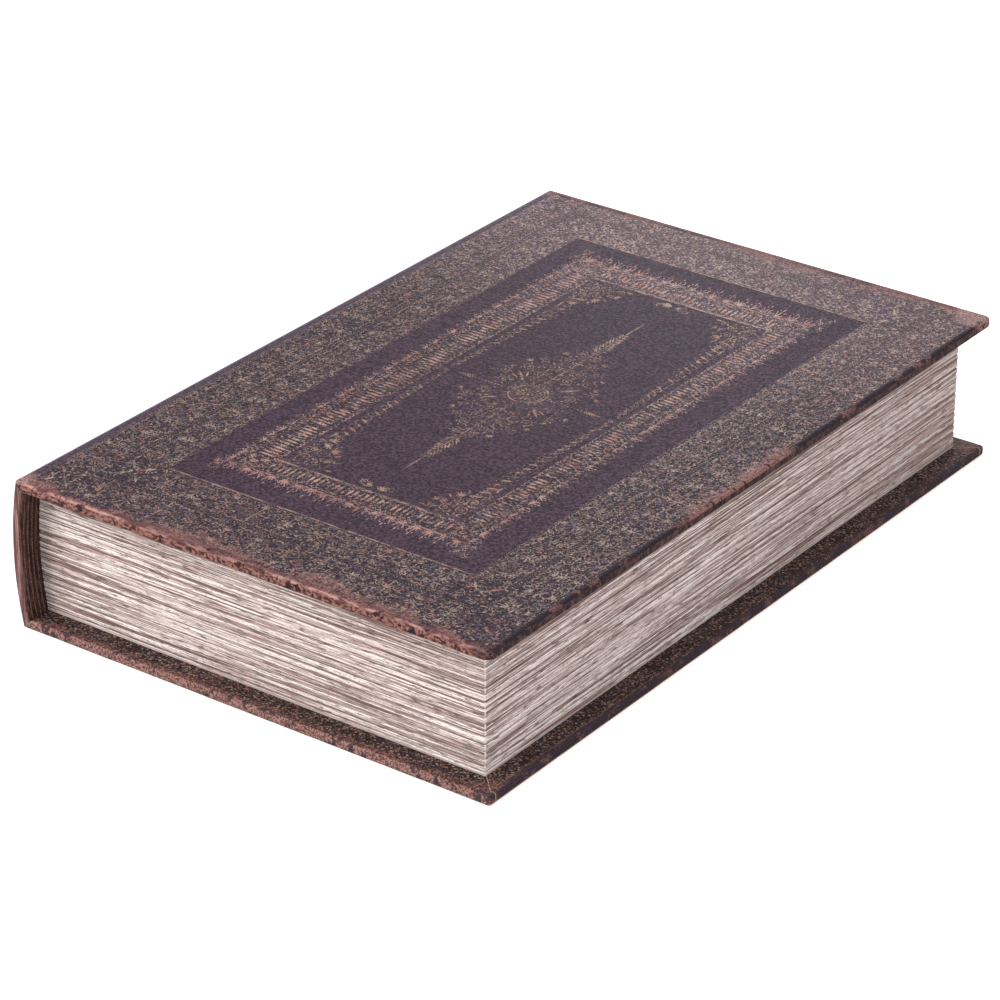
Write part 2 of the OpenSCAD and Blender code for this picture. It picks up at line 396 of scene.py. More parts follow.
def front_leather(name="leatherette_front", specular=0.17):
    """Leatherette of the lid: plain purple-brown bands between printed ones, worn edges, a painted
    sheen towards the head and a painted highlight along the spine edge.
    """
    paint = Paint(name, REST)
    u = paint.y - TAIL_Y
    v = paint.x - SEAM_X
    from_fore = COVER_W - v
    below_top = CASE_T - paint.z
    to_end = u.low(CASE_L - u)
    patch = paint.noise(7.0, detail=4.0, seed=2)
    small = paint.noise(1.7, detail=3.0, seed=6)
    fleck = paint.noise(0.42, seed=5)
    grain = leather_grain(paint)

    plain = plain_leather(paint, grain, fleck)
    # Lace ground and threads grow paler towards the head end: a painted sheen.
    headward_sheen = u.rise(150.0, 250.0)
    lace = paint.mix(grain.rise(0.75, 0.25), (52, 39, 52), (31, 22, 33))
    lace = paint.mix(headward_sheen * 0.55, lace, (96, 74, 84))
    threads, thread_tone = lace_print(paint, 1.12, 14)
    thread_tone = paint.mix(headward_sheen * 0.65, thread_tone, (228, 194, 196))
    printed = printed_zone(paint)
    shown = fleck.rise(0.34, 0.5) * patch.rise(0.28, 0.44) * 0.78
    shown = shown * (1.0 - lattice(paint, 13.5, 11.0) * 0.75)
    divide = abs(beyond(paint, DIVIDE_RECT)).rise(1.5, 0.7)
    laced = (printed * (1.0 - divide * 0.7)).high(sprinkled_zone(paint, patch) * 0.42)
    # Pale line along the lid's spine edge: a painted highlight.
    spine_edge_highlight = v.rise(1.0, 0.3) * below_top.rise(0.8, 0.4)

    # Rubbed print beside the tail edge, then the tail edge itself
    zone = paint.noise(13.0, stretch=(1.6, 1, 1), seed=8)
    crust = paint.noise(0.9, detail=3.0, stretch=(1.4, 1, 1), seed=25)
    streak = paint.noise(1.5, detail=4.0, stretch=(4, 1, 1), seed=7)
    flame = paint.noise(1.1, detail=3.0, stretch=(1, 3, 1), seed=10)
    mottle = (small * 0.5 + fleck * 0.5).rise(0.48, 0.56)
    rub_tone = paint.mix(fleck.rise(0.4, 0.6), (94, 60, 57), (166, 118, 110))
    reach = zone * 18.0 + flame * 11.0 + streak * 5.0 - 13.0
    rubbed = (to_end - reach).rise(0.7, -0.7) * (streak.rise(0.35, 0.62) * 0.6 + 0.25)
    edge_tone = paint.mix(crust.rise(0.42, 0.56), (70, 40, 38), (164, 114, 104))
    edge_tone = paint.mix(fleck.rise(0.56, 0.62) * 0.6, edge_tone, (52, 30, 30))
    arris_tone = paint.mix(streak.rise(0.4, 0.6), (100, 64, 60), (196, 150, 142))
    arris_tone = paint.mix(crust.rise(0.55, 0.62) * 0.7, arris_tone, (88, 52, 48))
    face = below_top.rise(0.45, 0.95)
    copper = paint.mix(face, arris_tone, edge_tone)
    end_edge = (to_end + (streak - 0.5) * 2.0).rise(1.1, 0.5)
    end_edge = end_edge * (small.rise(0.72, 0.5) * 0.3 + 0.65)

    # Fore edge: a dark band over a mottled brown face, and one long rubbed patch
    ragged = (patch - 0.5) * 9.0 + (small - 0.5) * 5.0
    stretches = paint.noise(4.6, detail=3.0, stretch=(1, 1.6, 1), seed=9)
    face_tone = paint.mix(mottle * 0.6, (40, 27, 28), (124, 88, 82))
    band_tone = paint.mix(stretches.rise(0.57, 0.62) * 0.7, (34, 27, 34), rub_tone)
    fore_tone = paint.mix(face, band_tone, face_tone)
    fore_edge = (from_fore + ragged * 0.35).rise(1.8, 0.9)
    patch_zone = (abs(u - 121.0) + ragged * 1.4).rise(30.0, 22.0)
    islands = (small * 0.6 + patch * 0.4).rise(0.46, 0.51)
    fore_rub = (from_fore + ragged * 0.5).rise(1.6, 1.0)
    fore_rub = fore_rub.high(islands * (from_fore + ragged * 0.4).rise(4.6, 3.4))
    fore_rub = fore_rub * patch_zone * below_top.rise(1.1, 0.7) * 0.85
    pink = paint.mix(fleck.rise(0.4, 0.6), (112, 78, 74), (176, 130, 122))

    # Corners, nicks in the two near edges, and the folds of the turned-in sheet
    near_tip = corner_distance(paint, 0, COVER_W) + ragged
    near_tone = paint.mix(mottle, (44, 32, 40), (122, 86, 82))
    tip_far = (corner_distance(paint, CASE_L, COVER_W) + ragged * 1.3).rise(12.0, 8.0) * 0.8
    tip_seam = (corner_distance(paint, 0, 0) + ragged).rise(6.0, 3.0) * 0.6
    tip_tone = paint.mix(fleck.rise(0.4, 0.6), (128, 98, 96), (192, 158, 152))
    near_edge = (u.low(from_fore) + (small - 0.5) * 3.0).rise(3.0, 1.0)
    nicks = paint.noise(1.6, detail=3.0, stretch=(1.6, 1, 2), seed=16).rise(0.6, 0.66) * near_edge
    fold = mitre_fold(u, from_fore, small) * below_top.rise(2.6, 3.0)
    colour = paint.coats(
        paint.mix(printed, plain, lace),
        (threads * shown * laced, thread_tone),
        # painted highlight along the spine edge
        (spine_edge_highlight * 0.7, (168, 160, 178)),
        (rubbed, rub_tone),
        (fore_edge * 0.9, fore_tone),
        (fore_rub, pink),
        (end_edge, copper),
        (near_tip.rise(9.0, 4.0) * 0.65, near_tone),
        (tip_far.high(tip_seam), paint.mix(face, tip_tone, edge_tone)),
        (nicks * 0.9, NEAR_BLACK),
        (fold, NEAR_BLACK),
    )
    relief = leather_relief(paint, grain) - nicks * 0.12 - fold * 0.15
    gloss = 0.6 - printed * threads * 0.28
    return paint.finish(colour, gloss, relief, specular, Specular_Tint=SHEEN)


def back_leather():
    """Leatherette of the back cover: near black, with tan specks and worn edges."""
    paint = Paint("leatherette_back", REST)
    u = paint.y - TAIL_Y
    from_fore = FORE_X - paint.x
    to_end = u.low(CASE_L - u)
    patch = paint.noise(6.0, detail=4.0, seed=12)
    small = paint.noise(1.6, detail=3.0, seed=16)
    fleck = paint.noise(0.5, seed=13)
    grain = leather_grain(paint)
    ground = paint.mix(patch.rise(0.5, 0.66), (24, 17, 18), (36, 30, 36))
    specks, tone = lace_print(paint, 0.95, 24)
    tone = paint.mix(0.45, tone, (148, 112, 96))

    # Bare margin along the fore edge, with a pale rim in the tail half
    bare_width = (95.0 - u).high(0.0) * 0.011 + (patch - 0.5) * 1.4 + 1.1
    bare = (bare_width - from_fore).rise(0.0, 0.3)
    bare_rim = abs(bare_width - from_fore).rise(0.24, 0.06) * u.rise(110.0, 80.0)

    # Rubbed edges and corners, a worn line along the foot, and the folds of the turned-in sheet
    ragged = (patch - 0.5) * 7.0 + (small - 0.5) * 3.0
    rub_tone = paint.mix(fleck.rise(0.42, 0.58), (54, 36, 36), (146, 102, 92))
    blots = paint.noise(1.9, detail=3.0, stretch=(1, 2, 2), seed=17).rise(0.55, 0.62)
    rub_tone = paint.mix(blots * 0.85, rub_tone, (44, 38, 46))
    tail_rub = (to_end + ragged).rise(3.4, 1.0) * 0.75
    fore_rub = (from_fore + ragged).rise(3.0, 0.8) * 0.18
    tips = corner_distance(paint, 0, COVER_W).low(corner_distance(paint, CASE_L, COVER_W))
    tip_rub = (tips + ragged * 1.5).rise(11.0, 6.0) * 0.75
    edge_tone = paint.mix(fleck.rise(0.4, 0.6), (98, 68, 64), (172, 130, 122))
    edge_tone = paint.mix(blots * 0.85, edge_tone, (46, 40, 50))
    tail_edge = (to_end + (small - 0.5) * 0.8).rise(0.8, 0.3) * 0.9
    fore_tone = paint.mix(patch.rise(0.5, 0.62) * 0.7, (48, 40, 50), rub_tone)
    fore_band = (from_fore + (small - 0.5) * 0.6).rise(0.9, 0.3) * tail_edge.rise(0.6, 0.2)
    low_line = from_fore.rise(1.1, 0.6) * paint.z.rise(1.0, 0.75) * small.rise(0.3, 0.42)
    fold = mitre_fold(u, from_fore, small) * paint.z.rise(0.6, 1.2)
    colour = paint.coats(
        ground,
        (specks * patch.rise(0.25, 0.45) * 0.85, tone),
        (bare * 0.8, (52, 45, 54)),
        (bare_rim * small.rise(0.3, 0.45) * 0.6, (132, 114, 112)),
        (tail_rub.high(fore_rub).high(tip_rub), rub_tone),
        (tail_edge, edge_tone),
        (fore_band * 0.9, fore_tone),
        (low_line * 0.85, (196, 142, 100)),
        (fold * (fleck.rise(0.4, 0.5) * 0.5 + 0.5), (188, 164, 146)),
    )
    relief = leather_relief(paint, grain) - fold * 0.1
    return paint.finish(colour, 0.5, relief, 0.16, Specular_Tint=SHEEN)


def spine_leather():
    """Leatherette of the spine: plain outside, fine upright lines inside, pinkish worn ends."""
    paint = Paint("leatherette_spine", REST)
    u = paint.y - TAIL_Y
    to_end = u.low(CASE_L - u)
    across, up = paint.x - SPINE_CX, paint.z - MID_Z
    depth = SPINE_R - (across * across + up * up).op("SQRT")
    patch = paint.noise(7.0, detail=4.0, seed=18)
    fleck = paint.noise(0.42, seed=5)
    lines = paint.noise(0.42, stretch=(1, 1, 36), seed=20)
    grain = leather_grain(paint)
    plain = plain_leather(paint, grain, fleck)
    outside = paint.mix(patch.rise(0.4, 0.6) * 0.4, plain, (54, 38, 44))
    outside = paint.mix(lines.rise(0.58, 0.64) * 0.3, outside, (130, 98, 90))
    rows = paint.y.wave(1.7).rise(0.6, 0.85) * fleck.rise(0.4, 0.54)
    inside = paint.mix(lines.rise(0.48, 0.58) * 0.6, (42, 28, 26), (108, 76, 68))
    inside = paint.mix(rows * 0.8, inside, (150, 112, 98))
    ends = (to_end + (patch - 0.5) * 3.0).rise(1.2, 0.4) * (fleck.rise(0.62, 0.42) * 0.35 + 0.6)
    pale = paint.mix(lines.rise(0.44, 0.58), (96, 66, 66), (182, 140, 136))
    # Darker where the ends turn in towards the pages: painted shade.
    pale = paint.mix(depth.rise(2.4, 3.0) * 0.6, pale, (58, 38, 38))
    arrises = depth.rise(0.5, 0.2) * abs(up).rise(MID_Z - 3.0, MID_Z - 0.6)
    rubbed = arrises * patch.rise(0.4, 0.55) * 0.7
    rub_tone = paint.mix(fleck.rise(0.4, 0.6), (86, 58, 56), (150, 108, 98))
    colour = paint.coats(
        outside,
        (depth.rise(0.9, 1.6), inside),
        (ends, pale),
        (rubbed, rub_tone),
    )
    relief = leather_relief(paint, grain)
    return paint.finish(colour, 0.55, relief, 0.16, Specular_Tint=SHEEN)


def gilding(name, bright, dull, shown, patch_size, specular):
    """Worn foil. shown is the share of it that still lies on the leather."""
    paint = Paint(name, REST)
    speck = paint.noise(0.5, seed=21)
    patch = paint.noise(patch_size, detail=3.0, seed=22)
    grain = leather_grain(paint)
    level = 0.62 - 0.24 * shown
    kept = (speck * 0.5 + patch * 0.5).rise(level, level + 0.06)
    tone = paint.noise(9.0, detail=3.0, seed=23)
    foil = paint.mix(tone.rise(0.4, 0.62), bright, dull)
    colour = paint.mix(kept, paint.mix(grain, (28, 20, 30), (48, 36, 48)), foil)
    relief = leather_relief(paint, grain)
    return paint.finish(colour, 0.38, relief, specular, Specular_Tint=SHEEN)


def page_paint():
    """Printed, embossed page edges, with painted shade in the grooves and a painted highlight down
    the corners. The strip's X runs round the block and its Y is the depth.
    """
    paint = Paint("page_edge", STRIP)
    long_streak = paint.noise(0.42, stretch=(120, 1, 1), seed=31)
    streak = paint.noise(0.3, stretch=(44, 1, 1), seed=32)
    dash = paint.noise(0.26, stretch=(18, 1, 1), seed=35)
    short_dash = paint.noise(0.24, detail=1.0, stretch=(8, 1, 1), seed=36)
    broad = paint.noise(8.0, stretch=(5, 1, 1), seed=33)
    dust = paint.noise(0.42, detail=3.0, stretch=(3, 1, 1), seed=34)
    wander = paint.noise(3.2, detail=1.0, stretch=(16, 1, 1), seed=37)
    leaves = (paint.z + wander * 2.4).wave(1.1)
    # Darker in the grooves: painted shade.
    groove = paint.y.rise(0.14, 0.36)
    pale_leaves = leaves.rise(0.3, 0.1) * long_streak.rise(0.55, 0.47)
    dark_leaves = leaves.rise(0.74, 0.92) * streak.rise(0.44, 0.52)
    foot = (paint.z - pages_low.z).rise(FOOT, FOOT * 0.6)
    fore_start = pages_high.x - SEAM_X
    fore_end = fore_start + pages_high.y - pages_low.y
    browned = paint.x.rise(fore_start + 80, fore_end) * paint.x.rise(fore_end + 60, fore_end)
    # Distance from the block's two rounded corners, where a pale line is a painted highlight.
    turn = abs(paint.x - fore_start).low(abs(paint.x - fore_end))
    top = (paint.z - pages_high.z).rise(-0.12, -0.04)
    colour = paint.coats(
        (234, 210, 204),
        (broad.rise(0.35, 0.65), (222, 195, 191)),
        (streak.rise(0.51, 0.58) * 0.5, (168, 144, 134)),
        (long_streak.rise(0.48, 0.42) * 0.95, (255, 242, 238)),
        (streak.rise(0.45, 0.39) * 0.9, (255, 246, 244)),
        (long_streak.rise(0.56, 0.6) * 0.85, (104, 78, 72)),
        (pale_leaves * 0.6, (255, 248, 246)),
        (dark_leaves * 0.7, (88, 64, 60)),
        (dash.rise(0.57, 0.62) * 0.85, (90, 68, 60)),
        (short_dash.rise(0.66, 0.72) * 0.7, (82, 62, 56)),
        (dust.rise(0.54, 0.7) * 0.4, (150, 126, 118)),
        # painted shade in the grooves
        (groove * 0.7, (110, 86, 80)),
        (foot * 0.7, (206, 192, 188)),
        (browned * 0.3, (132, 102, 92)),
        # painted highlight down the rounded corners
        (turn.rise(0.5, 0.1) * (1.0 - groove) * 0.7, (250, 242, 238)),
        (top * 0.9, (204, 182, 162)),
    )
    relief = streak * 0.03 + dust * 0.03 - dash * 0.04
    return paint.finish(colour, 0.62, relief)


def board_paint():
    paint = Paint("grey_board")
    fibre = paint.noise(1.4, detail=4.0, stretch=(3, 1, 1), seed=41)
    fleck = paint.noise(0.5, seed=42)
    colour = paint.mix(fibre.rise(0.35, 0.65), (128, 121, 112), (158, 150, 138))
    colour = paint.mix(fleck.rise(0.6, 0.7) * 0.6, colour, (92, 84, 76))
    return paint.finish(colour, 0.85, fibre * 0.06 + fleck * 0.04)


def paper_paint(name, stored=None):
    """Plain laid endpaper, foxed a little with age."""
    paint = Paint(name, stored)
    laid = paint.x.wave(1.1).rise(0.3, 0.9)
    fibre = paint.noise(0.6, detail=3.0, stretch=(1, 4, 1), seed=51)
    age = paint.noise(28.0, detail=3.0, seed=52)
    spots = paint.cells(9.0, seed=53).rise(0.11, 0.05) * paint.noise(20.0, seed=54).rise(0.5, 0.6)
    colour = paint.coats(
        (190, 167, 140),
        (age.rise(0.25, 0.75), (180, 155, 127)),
        (fibre.rise(0.5, 0.75) * 0.4, (158, 130, 100)),
        (laid * 0.16, (140, 112, 84)),
        (spots * 0.5, (130, 92, 62)),
    )
    return paint.finish(colour, 0.8, laid * 0.02 + fibre * 0.03)


def wood_paint():
    paint = Paint("tray_wood")
    grain = paint.noise(2.2, detail=4.0, stretch=(1, 14, 1), seed=61, warp=0.6)
    pores = paint.noise(0.5, stretch=(1, 18, 1), seed=62)
    colour = paint.mix(grain.rise(0.35, 0.65), (164, 128, 92), (132, 98, 68))
    colour = paint.mix(pores.rise(0.6, 0.72) * 0.6, colour, (92, 64, 44))
    return paint.finish(colour, 0.6, grain * 0.05 - pores * 0.03, 0.3)


def lining_paint():
    """Short-napped cloth in a dark wine brown."""
    paint = Paint("lining")
    nap = paint.noise(9.0, detail=4.0, seed=71)
    fuzz = paint.noise(0.35, detail=3.0, seed=72)
    colour = paint.mix(nap.rise(0.35, 0.65), (92, 48, 44), (74, 38, 38))
    colour = paint.mix(fuzz.rise(0.45, 0.7) * 0.5, colour, (116, 66, 58))
    relief = fuzz * 0.12 + nap * 0.1
    return paint.finish(colour, 0.9, relief, 0.15, Sheen_Weight=0.35, Sheen_Roughness=0.4)


def steel_paint():
    paint = Paint("steel")
    brushed = paint.noise(0.3, stretch=(1, 12, 1), seed=81)
    stain = paint.noise(3.0, detail=3.0, seed=82)
    colour = paint.mix(stain.rise(0.4, 0.7), (196, 198, 202), (166, 166, 168))
    return paint.finish(colour, brushed * 0.2 + 0.22, brushed * 0.006, 0.5, Metallic=1.0)


# Meshes

def add_mesh(name, points, faces, material, strip=None, crease=CREASE):
    """Mesh object from points in millimetres. It keeps its rest place as an attribute."""
    points = np.asarray(points, float).reshape(-1, 3)
    mesh = bpy.data.meshes.new(name)
    mesh.from_pydata((points * MM).tolist(), [], faces)
    mesh.attributes.new(REST, "FLOAT_VECTOR", "POINT")
    mesh.attributes[REST].data.foreach_set("vector", points.astype(np.float32).ravel())
    if strip is not None:
        mesh.attributes.new(STRIP, "FLOAT_VECTOR", "POINT")
        mesh.attributes[STRIP].data.foreach_set("vector", np.asarray(strip, np.float32).ravel())
    mesh.validate()
    mesh.shade_smooth()
    mesh.set_sharp_from_angle(angle=crease)
    mesh.materials.append(material)
    thing = bpy.data.objects.new(name, mesh)
    bpy.context.scene.collection.objects.link(thing)
    return thing


def grid_faces(rows, columns, closed_rows=False):
    """Quads between rows of points. Each row holds that many columns."""
    faces = []
    for row in range(rows if closed_rows else rows - 1):
        below = row * columns
        above = ((row + 1) % rows) * columns
        for column in range(columns - 1):
            faces.append([below + column, below + column + 1, above + column + 1, above + column])
    return faces


def outer_arris():
    """(inset, depth) round the outer edge of a wrapped board. One point has the sheet's depth."""
    sheet = math.acos(1 - WRAP_T / OUTER_ARRIS)
    angles = [0, sheet * 0.5, sheet, (sheet + math.pi / 2) / 2, math.pi / 2]
    return [(OUTER_ARRIS * (1 - math.sin(a)), OUTER_ARRIS * (1 - math.cos(a))) for a in angles]


def inner_arris():
    """(inset, depth) round the inner edge of a wrapped board."""
    angles = [0, math.pi / 6, math.pi / 3, math.pi / 2]
    return [
        (INNER_ARRIS * (1 - math.cos(a)), COVER_T - INNER_ARRIS * (1 - math.sin(a)))
        for a in angles
    ]


def sheet_profile():
    """(inset, depth) of the sheet round a board's edge, from outer face to turn-in."""
    return outer_arris() + inner_arris() + [(TURN_IN, COVER_T), (TURN_IN, COVER_T - WRAP_T)]


def tail_to_head(profile):
    """(y, depth) of an edge profile at the head, after the same profile at the tail in reverse."""
    tail = [(TAIL_Y + inset, depth) for inset, depth in reversed(profile)]
    return tail + [(HEAD_Y - inset, depth) for inset, depth in profile]


def quarter_turn(x, y, radius, start, count):
    """Points of a quarter circle round x, y, from a start angle."""
    angles = np.linspace(start, start + math.pi / 2, count)
    return [(x + radius * math.cos(a), y + radius * math.sin(a)) for a in angles]


def cover_ring(inset, depth, start_x, corner_radii):
    """Open outline of a cover at an inset, from the spine's tail end round to its head end."""
    tail_reach, head_reach = (max(radius, inset) for radius in corner_radii)
    tail_r, head_r = (max(radius - inset, 0.0) for radius in corner_radii)
    end, fore, turn = COVER_POINTS
    joint_x = SEAM_X + HINGE_LEG
    tail_mid = (FORE_X - tail_reach, TAIL_Y + tail_reach)
    head_mid = (FORE_X - head_reach, HEAD_Y - head_reach)
    points = [(start_x, TAIL_Y + inset), (joint_x, TAIL_Y + inset)]
    points += [(x, TAIL_Y + inset) for x in np.linspace(joint_x, tail_mid[0], end)[1:-1]]
    points += quarter_turn(*tail_mid, tail_r, -math.pi / 2, turn)
    points += [(FORE_X - inset, y) for y in np.linspace(tail_mid[1], head_mid[1], fore)[1:-1]]
    points += quarter_turn(*head_mid, head_r, 0, turn)
    points += [(x, HEAD_Y - inset) for x in np.linspace(head_mid[0], joint_x, end)[1:-1]]
    points += [(joint_x, HEAD_Y - inset), (start_x, HEAD_Y - inset)]
    ring = []
    for x, y in points:
        shift = 0.0
        if inset < TURN_IN and x > SEAM_X + 2 * HINGE_LEG:
            shift = EDGE_WOBBLE * (0.5 + 0.5 * noise.noise(Vector((x / 9, y / 9, depth / 3))))
        toward = Vector((-x, -y)).normalized() * shift
        ring.append((x + toward.x, y + toward.y, depth))
    return ring


def cover_mesh(name, lid, material):
    """Sheet round a cover, with soft edges and turn-ins. The lid's leaves room for the strip."""
    profile = sheet_profile()
    rings = []
    for inset, depth in profile:
        under_strip = lid and depth < WRAP_T - TINY
        start_x = SEAM_X + HINGE_LEG if under_strip else SEAM_X + min(depth, COVER_T)
        rings.append(cover_ring(inset, depth, start_x, LID_CORNERS_R if lid else BACK_CORNERS_R))
    columns = len(rings[0])
    points = [point for ring in rings for point in ring]
    faces = []
    for face in grid_faces(len(rings), columns):
        row, column = divmod(face[0], columns)
        if not lid or 0 < column < columns - 2 or profile[row][1] >= WRAP_T - TINY:
            faces.append(face)
    outer = list(range(columns))
    if lid:
        outer = outer[1:-1]
    faces.append(outer[::-1])
    mitre_rows = range(2 if lid else 0, len(rings) - 2)
    mitre = [row * columns for row in mitre_rows]
    mitre += [row * columns + columns - 1 for row in reversed(mitre_rows)]
    faces.append(mitre)
    points = np.array(points)
    if lid:
        points[:, 2] = CASE_T - points[:, 2]
        faces = [face[::-1] for face in faces]
    return add_mesh(name, points, faces, material)


def arc_x(z, depth):
    """X of the spine at a height and a depth below its outer face."""
    return SPINE_CX - math.sqrt((SPINE_R - depth) ** 2 - (z - MID_Z) ** 2)


def mitre_z(depth):
    """Height where the spine meets the lower mitre, at a depth below its outer face.

    Each step comes closer, and 30 steps are far more than it needs.
    """
    z = depth
    for _ in range(30):
        z = arc_x(z, depth) - SEAM_X
    return z


def spine_mesh(name, material):
    """Sheet round the spine board, folded in over its tail and head."""
    step = 2 * JOINT_PAPER_T * math.sqrt(2)
    profile = tail_to_head(sheet_profile())
    columns = 25
    points = []
    for y, depth in profile:
        low = mitre_z(depth)
        high = CASE_T - low - step
        if depth < WRAP_T - TINY:
            high = CASE_T - HINGE_LEG
        for z in np.linspace(low, high, columns):
            points.append((arc_x(z, depth), y, z))
    faces = grid_faces(len(profile), columns)
    return add_mesh(name, points, faces, material)


def strip_path():
    """Outer line of the hinge strip in X and Z, from spine to lid, with its inward normals."""
    radius = STRIP_BEND_R
    leg_points, bend_points = 8, 6
    heights = np.linspace(CASE_T - HINGE_LEG, CASE_T - radius, leg_points)
    line = [(arc_x(z, 0), z) for z in heights]
    start_x = line[-1][0]
    for angle in np.linspace(0, math.pi / 2, bend_points)[1:]:
        x = start_x + radius * (1 - math.cos(angle))
        z = CASE_T - radius * (1 - math.sin(angle))
        line.append((x, z))
    on_lid = np.linspace(SEAM_X + radius, SEAM_X + HINGE_LEG, leg_points)[1:]
    line += [(x, CASE_T) for x in on_lid]
    line = np.array(line)
    tangent = np.gradient(line, axis=0)
    tangent /= np.linalg.norm(tangent, axis=1)[:, None]
    inward = np.stack([tangent[:, 1], -tangent[:, 0]], axis=1)
    return line, inward


def strip_mesh(name, material):
    """The sheet where it bends over the joint."""
    line, inward = strip_path()
    profile = tail_to_head(outer_arris()[:3])
    points = []
    for y, depth in profile:
        for place, normal in zip(line, inward):
            x, z = place + normal * depth
            points.append((x, y, z))
    columns = len(line)
    faces = grid_faces(len(profile), columns, closed_rows=True)
    rows = len(profile)
    faces.append([row * columns for row in range(rows)])
    faces.append([row * columns + columns - 1 for row in reversed(range(rows))])
    return add_mesh(name, points, faces, material)


def liner_mesh(name, material):
    """Paper strip folded into the mitred joint: one leg on the spine, one on the lid.

    A small tongue reaches on to the lid's endpaper.
    """
    apex = np.array([SEAM_X + WRAP_T + MITRE_SHIFT, CASE_T - WRAP_T - 2 * MITRE_SHIFT])
    inner = np.array([SEAM_X + COVER_T - MITRE_SHIFT, CASE_T - COVER_T])
    along = (inner - apex) / np.linalg.norm(inner - apex)
    across = np.array([-along[1], along[0]])
    length = np.linalg.norm(inner - apex)
    glued, inside = JOINT_PAPER_T * 0.98, 0.05
    outer_fold, inner_fold = 0.15, 0.3

    def leg(start, end, offset):
        return [apex + along * way + across * offset for way in np.linspace(start, end, 6)]

    section = leg(length, outer_fold, -glued) + [apex] + leg(outer_fold, length, glued)
    tongue = [(endpaper_low.x, 0.12), (endpaper_low.x, -0.02), (inner[0] + 0.09, -0.02)]
    section += [np.array([x, CASE_T - COVER_T + rise]) for x, rise in tongue]
    section += leg(length, inner_fold, inside) + leg(inner_fold, length, -inside)
    columns = len(section)
    points = [(x, y, z) for y in (TAIL_Y + WRAP_T, HEAD_Y - WRAP_T) for x, z in section]
    faces = []
    for column in range(columns):
        after = (column + 1) % columns
        faces.append([column, after, columns + after, columns + column])
    faces.append(list(range(columns))[::-1])
    faces.append([columns + column for column in range(columns)])
    return add_mesh(name, points, faces, material), apex, across


def page_path():
    """Points round the page edges, each with its outward normal."""
    end, fore, turn = PAGE_POINTS
    radius = PAGE_CORNER_R
    high_x, low_y, high_y = pages_high.x, pages_low.y, pages_high.y
    mid_x, tail_y, head_y = high_x - radius, low_y + radius, high_y - radius

    def corner(y, start):
        normals = quarter_turn(0, 0, 1, start, turn)[1:]
        return [((mid_x + radius * nx, y + radius * ny), (nx, ny)) for nx, ny in normals]

    places = [((x, low_y), (0, -1)) for x in np.linspace(SEAM_X, mid_x, end)]
    places += corner(tail_y, -math.pi / 2)
    places += [((high_x, y), (1, 0)) for y in np.linspace(tail_y, head_y, fore)[1:]]
    places += corner(head_y, 0)
    places += [((x, high_y), (0, 1)) for x in np.linspace(mid_x, SEAM_X, end)[1:]]
    return places


def page_depth(run, z):
    """Depth of the embossed page edges below their outline, in millimetres."""
    low, high = pages_low.z, pages_high.z
    if z < low + FOOT or z > high - PLAIN_TOP:
        return 0.0
    drift = 0.42 * noise.noise(Vector((run / 52, z / 9, 3.0)))
    drift += 0.1 * noise.noise(Vector((run / 14, z / 3, 8.0)))
    turn = 2 * math.pi * (z - low - FOOT + drift) / GROOVE_PITCH
    groove = max(0.0, 0.5 + 0.5 * math.cos(turn)) ** 3
    strength = 0.7 + 0.6 * noise.noise(Vector((run / 40, z / 2.2, 5.0)))
    leaves = 0.5 + 0.5 * noise.noise(Vector((run / 30, z / 0.42, 1.0)))
    return min(max(GROOVE_DEPTH * groove * strength + LEAF_DEPTH * leaves, 0.0), DEEPEST_GROOVE)


def page_mesh(name, material):
    """Page edges on three sides, with wavy embossed grooves. They meet the spine's inner face."""
    low, high = pages_low.z, pages_high.z
    near_spine = 14.0
    heights = list(np.arange(low, high - PAGE_ROW / 2, PAGE_ROW)) + [high]
    places = page_path()
    points, strip = [], []
    run = 0.0
    last = places[0][0]
    for (x, y), (nx, ny) in places:
        run += math.dist((x, y), last)
        last = (x, y)
        column = [(PAGE_T, low)]
        column += [(page_depth(run, z), z) for z in heights]
        column += [(PAGE_T, high)]
        for depth, z in column:
            inner_x = arc_x(z, COVER_T + SPINE_GAP)
            from_spine = inner_x + (x - SEAM_X) * (SEAM_X + near_spine - inner_x) / near_spine
            real_x = from_spine if x - SEAM_X < near_spine else x
            points.append((real_x - nx * depth, y - ny * depth, z))
            strip.append((run, depth if depth < PAGE_T else 0.0, z))
    rows = len(places)
    columns = len(heights) + 2
    faces = grid_faces(rows, columns)
    for row in range(rows - 1):
        here = row * columns
        faces.append([here + columns - 1, here, here + columns, here + 2 * columns - 1])
    faces.append(list(range(columns))[::-1])
    faces.append([(rows - 1) * columns + column for column in range(columns)])
    faces = [face[::-1] for face in faces]
    return add_mesh(name, points, faces, material, strip, PAGE_CREASE)


# Ornament: flat shapes (points, faces) in the plane, each on one of a few thin layers

LAYER_STEP = 0.0012
LAYER_COUNT = 31
layers = itertools.cycle([LAYER_STEP * (step * 12 % LAYER_COUNT) for step in range(LAYER_COUNT)])


def flat(points, faces):
    """Flat shape on the next thin layer."""
    points = np.asarray(points, float).reshape(-1, 2)
    height = np.full((len(points), 1), next(layers))
    return np.hstack([points, height]), faces


def join(parts):
    points, faces, count = [], [], 0
    for part_points, part_faces in parts:
        points.append(part_points)
        faces += [[i + count for i in face] for face in part_faces]
        count += len(part_points)
    return np.concatenate(points), faces


def moved(part, x=0.0, y=0.0, turn=0.0, stretch=(1, 1), raised=0.0):
    """The shape stretched, then turned, then moved."""
    points, faces = part
    c, s = math.cos(turn), math.sin(turn)
    flat_points = (points[:, :2] * stretch) @ np.array([[c, s], [-s, c]]) + (x, y)
    return np.hstack([flat_points, points[:, 2:] + raised]), faces


def both(part):
    """The shape and its mirror image across x = 0."""
    return join([part, moved(part, stretch=(-1, 1), raised=LAYER_STEP / 2)])


